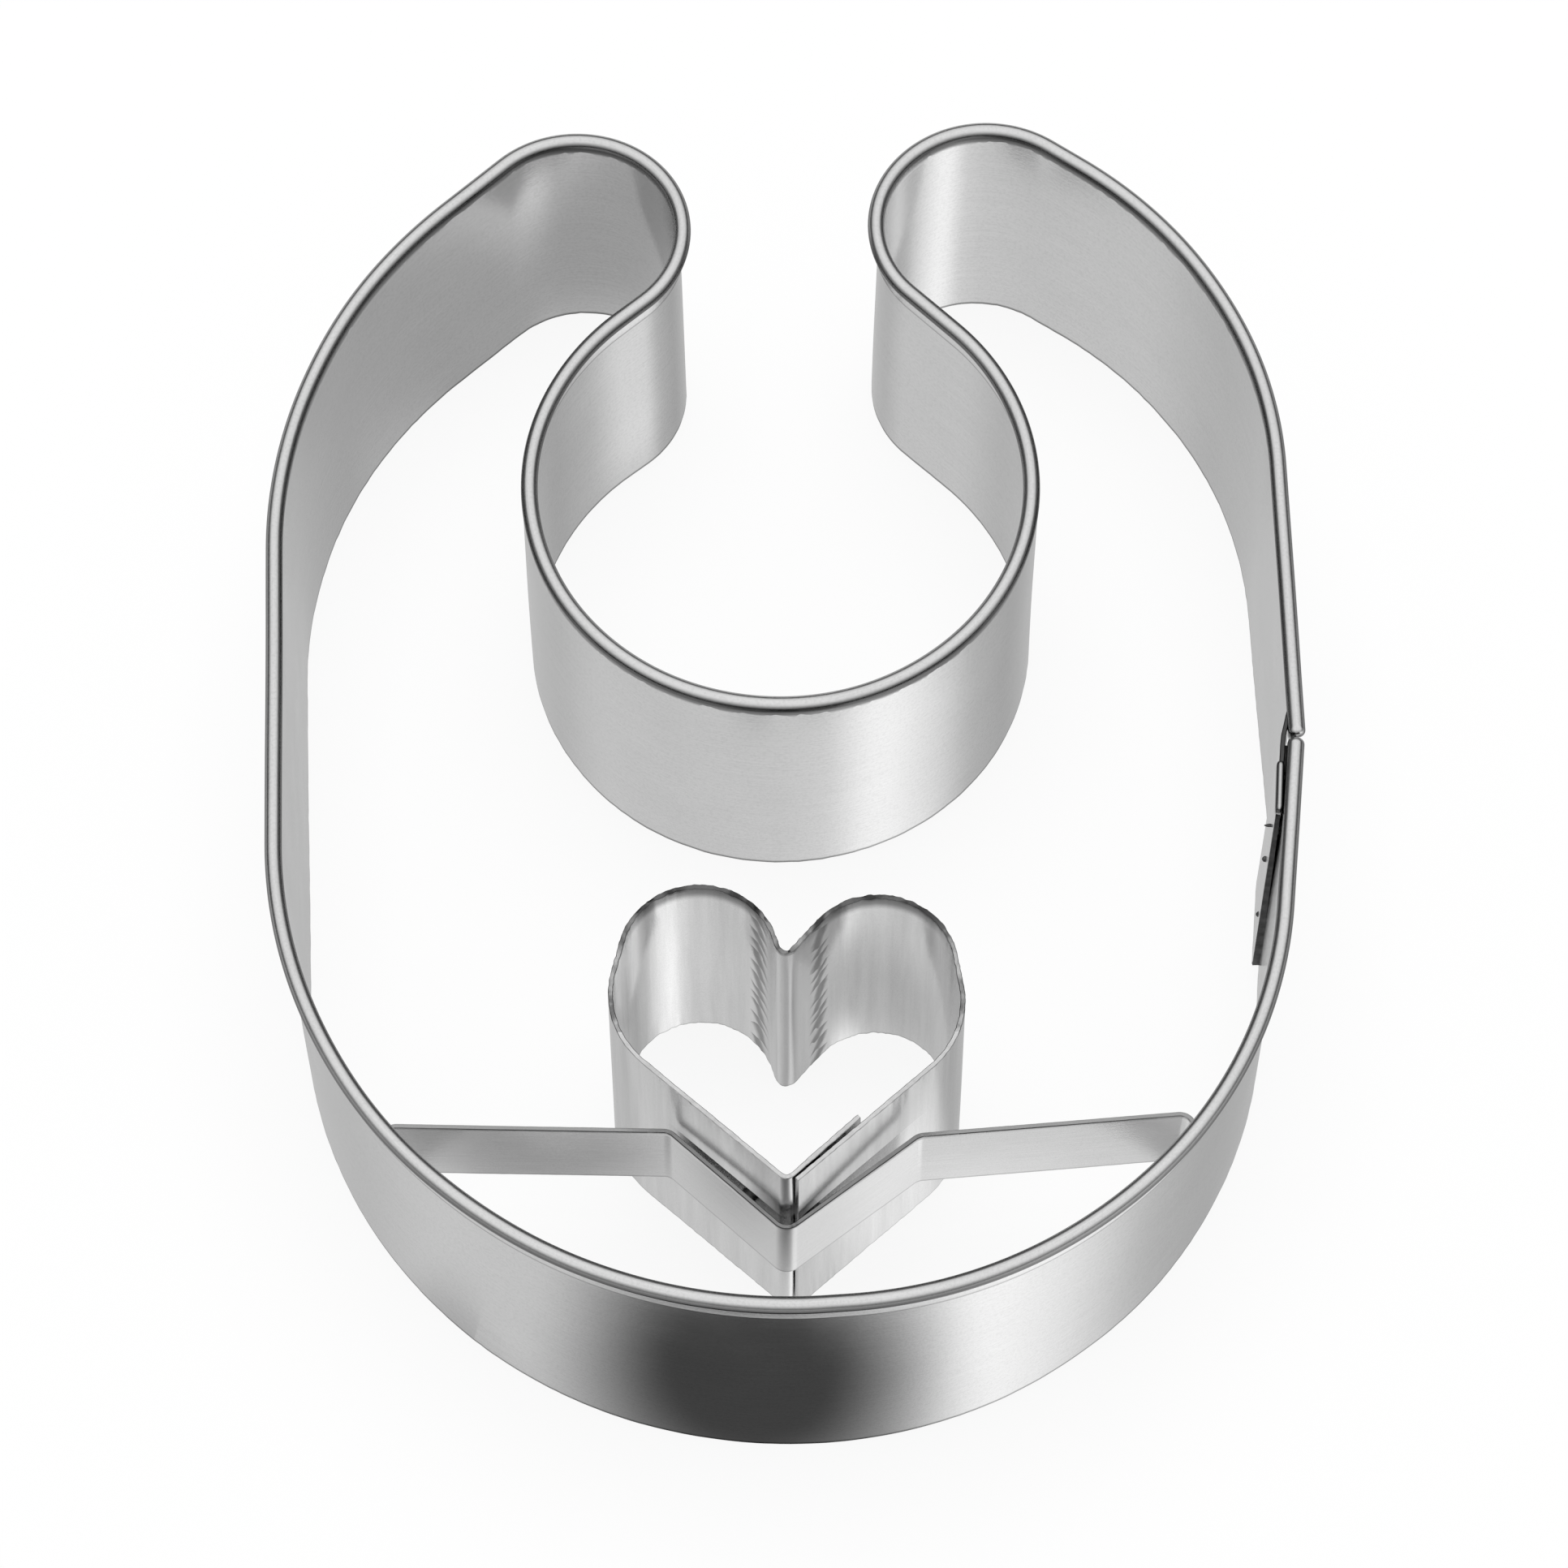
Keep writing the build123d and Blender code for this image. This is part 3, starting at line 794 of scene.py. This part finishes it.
def lamp(name, size, energy, place, aim):
    """Soft rectangular studio lamp that faces a point."""
    data = bpy.data.lights.new(name, "AREA")
    data.shape = "RECTANGLE"
    data.size, data.size_y = size
    data.energy = energy
    piece = bpy.data.objects.new(name, data)
    bpy.context.scene.collection.objects.link(piece)
    piece.location = place
    piece.rotation_euler = (Vector(place) - Vector(aim)).to_track_quat("Z", "Y").to_euler()
    return piece


def floor_paper():
    """White paper of the studio floor: plain white to the camera, with a soft shadow left in it."""
    material, tree, out = fresh_material("white_studio_paper")
    path = add(tree, "ShaderNodeLightPath")
    paper = add(tree, "ShaderNodeBsdfDiffuse", {"Color": linear("F4F4F4")})
    glow = add(tree, "ShaderNodeEmission", {"Color": linear("FFFFFF"), "Strength": 1.0})
    seen = add(tree, "ShaderNodeMath", {"operation": "MULTIPLY", 1: PAPER_WHITE},
               {0: path.outputs["Is Camera Ray"]})
    mixed = add(tree, "ShaderNodeMixShader",
                links={0: seen.outputs[0], 1: paper.outputs[0], 2: glow.outputs[0]})
    tree.links.new(mixed.outputs[0], out.inputs["Surface"])
    return material


def studio_world():
    """White room. The metal shows a lit floor below, a dim band round the horizon and bright
    diffusers above, and everything else gets an even white light."""
    world = bpy.data.worlds.new("studio_world")
    world.use_nodes = True
    tree = world.node_tree
    tree.nodes.clear()
    out = add(tree, "ShaderNodeOutputWorld")
    path = add(tree, "ShaderNodeLightPath")
    place = add(tree, "ShaderNodeTexCoord")
    way = add(tree, "ShaderNodeSeparateXYZ", links={"Vector": place.outputs["Generated"]})

    front = add(tree, "ShaderNodeMath", {"operation": "MULTIPLY", 1: -1.0}, {0: way.outputs["Y"]})
    turn = add(tree, "ShaderNodeMath", {"operation": "ARCTAN2"}, {0: way.outputs["X"], 1: front.outputs[0]})
    share = add(tree, "ShaderNodeMapRange", {"From Min": -math.pi, "From Max": math.pi},
                {"Value": turn.outputs[0]})
    floor_stops = [((turned + 180) / 360, level) for turned, level in FLOOR_LEVELS]
    floor = add(tree, "ShaderNodeValToRGB", {"stops": floor_stops}, {"Fac": share.outputs["Result"]})

    back = add(tree, "ShaderNodeValToRGB", {"stops": BACK_LEVELS}, {"Fac": way.outputs["Z"]})
    ahead = add(tree, "ShaderNodeValToRGB", {"stops": FRONT_LEVELS}, {"Fac": way.outputs["Z"]})
    facing = add(tree, "ShaderNodeMapRange", {"From Min": -0.3, "From Max": 0.3}, {"Value": front.outputs[0]})
    ceiling = add(tree, "ShaderNodeMix", {"data_type": "RGBA"},
                  {0: facing.outputs["Result"], 6: back.outputs["Color"], 7: ahead.outputs["Color"]})

    above = add(tree, "ShaderNodeMapRange", {"From Min": -0.03, "From Max": 0.01}, {"Value": way.outputs["Z"]})
    room = add(tree, "ShaderNodeMix", {"data_type": "RGBA"},
               {0: above.outputs["Result"], 6: floor.outputs["Color"], 7: ceiling.outputs[2]})
    plain = add(tree, "ShaderNodeMath", {"operation": "MAXIMUM"},
                {0: path.outputs["Is Camera Ray"], 1: path.outputs["Is Transmission Ray"]})
    level = add(tree, "ShaderNodeMapRange", {"To Min": ROOM_LIGHT, "To Max": 1.0}, {"Value": plain.outputs[0]})
    light = add(tree, "ShaderNodeBackground", {"Color": linear("FFFFFF")},
                {"Strength": level.outputs["Result"]})
    shown = add(tree, "ShaderNodeBackground", {"Strength": BRIGHTEST}, {"Color": room.outputs[2]})
    mixed = add(tree, "ShaderNodeMixShader",
                links={0: path.outputs["Is Glossy Ray"], 1: light.outputs[0], 2: shown.outputs[0]})
    tree.links.new(mixed.outputs[0], out.inputs["Surface"])
    return world


class CUTTER_OT_studio(bpy.types.Operator):
    """Sets up the floor, world, lamps and camera"""
    bl_idname = "cutter.studio"
    bl_label = "Studio"

    def execute(self, context):
        scene = context.scene
        scene.view_settings.view_transform = "Standard"
        scene.world = studio_world()
        floor = card("studio_floor", FLOOR_SIZE, (0, 0, -FLOOR_DROP), floor_paper())
        floor.visible_glossy = False
        for name, middle, size, turn, level in REFLECTED_CARDS:
            reflected_card(name, middle, size, turn, level)
        softbox = lamp("overhead_softbox", SOFTBOX_SIZE, SOFTBOX_POWER, SOFTBOX_PLACE,
                       (MIDDLE_X * MM, MIDDLE_Y * MM, 0.01))
        softbox.visible_glossy = False

        target = Vector((MIDDLE_X * MM, MIDDLE_Y * MM, 0))
        tilt, roll = math.radians(CAMERA_ELEVATION), math.radians(CAMERA_ROLL)
        ahead = Vector((0, math.cos(tilt), -math.sin(tilt)))
        right = Vector((1, 0, 0))
        up = right.cross(ahead)
        side = right * math.cos(roll) + up * math.sin(roll)
        above = up * math.cos(roll) - right * math.sin(roll)
        data = bpy.data.cameras.new("photo_camera")
        data.sensor_width = SENSOR_WIDTH
        data.lens = LENS
        data.clip_start, data.clip_end = CLIP
        camera = bpy.data.objects.new("photo_camera", data)
        scene.collection.objects.link(camera)
        camera.matrix_world = Matrix.Translation(target - ahead * CAMERA_DISTANCE * MM) @ Matrix(
            (side, above, -ahead)).transposed().to_4x4()
        scene.camera = camera
        return {"FINISHED"}


class CUTTER_PT_panel(bpy.types.Panel):
    """Lists the cutter's sizes, looks and builders"""
    bl_idname = "CUTTER_PT_panel"
    bl_label = "Bib Cookie Cutter"
    bl_space_type = "VIEW_3D"
    bl_region_type = "UI"
    bl_category = "Cutter"

    def draw(self, context):
        for group in (context.scene.cutter_sizes, context.scene.cutter_looks):
            column = self.layout.column(align=True)
            for name in group.__annotations__:
                column.prop(group, name)
        for operator in BUILDERS:
            self.layout.operator(operator.bl_idname)


BUILDERS = (CUTTER_OT_outer_band, CUTTER_OT_heart, CUTTER_OT_strap, CUTTER_OT_welds, CUTTER_OT_studio)
CLASSES = (CutterSizes, CutterLooks) + BUILDERS + (CUTTER_PT_panel,)


def register():
    for cls in CLASSES:
        bpy.utils.register_class(cls)
    bpy.types.Scene.cutter_sizes = bpy.props.PointerProperty(type=CutterSizes)
    bpy.types.Scene.cutter_looks = bpy.props.PointerProperty(type=CutterLooks)


def unregister():
    del bpy.types.Scene.cutter_sizes
    del bpy.types.Scene.cutter_looks
    for cls in reversed(CLASSES):
        bpy.utils.unregister_class(cls)


def main():
    register()
    bpy.ops.cutter.outer_band()
    bpy.ops.cutter.heart()
    bpy.ops.cutter.strap()
    bpy.ops.cutter.welds()
    bpy.ops.cutter.studio()


if __name__ == "__main__":
    main()
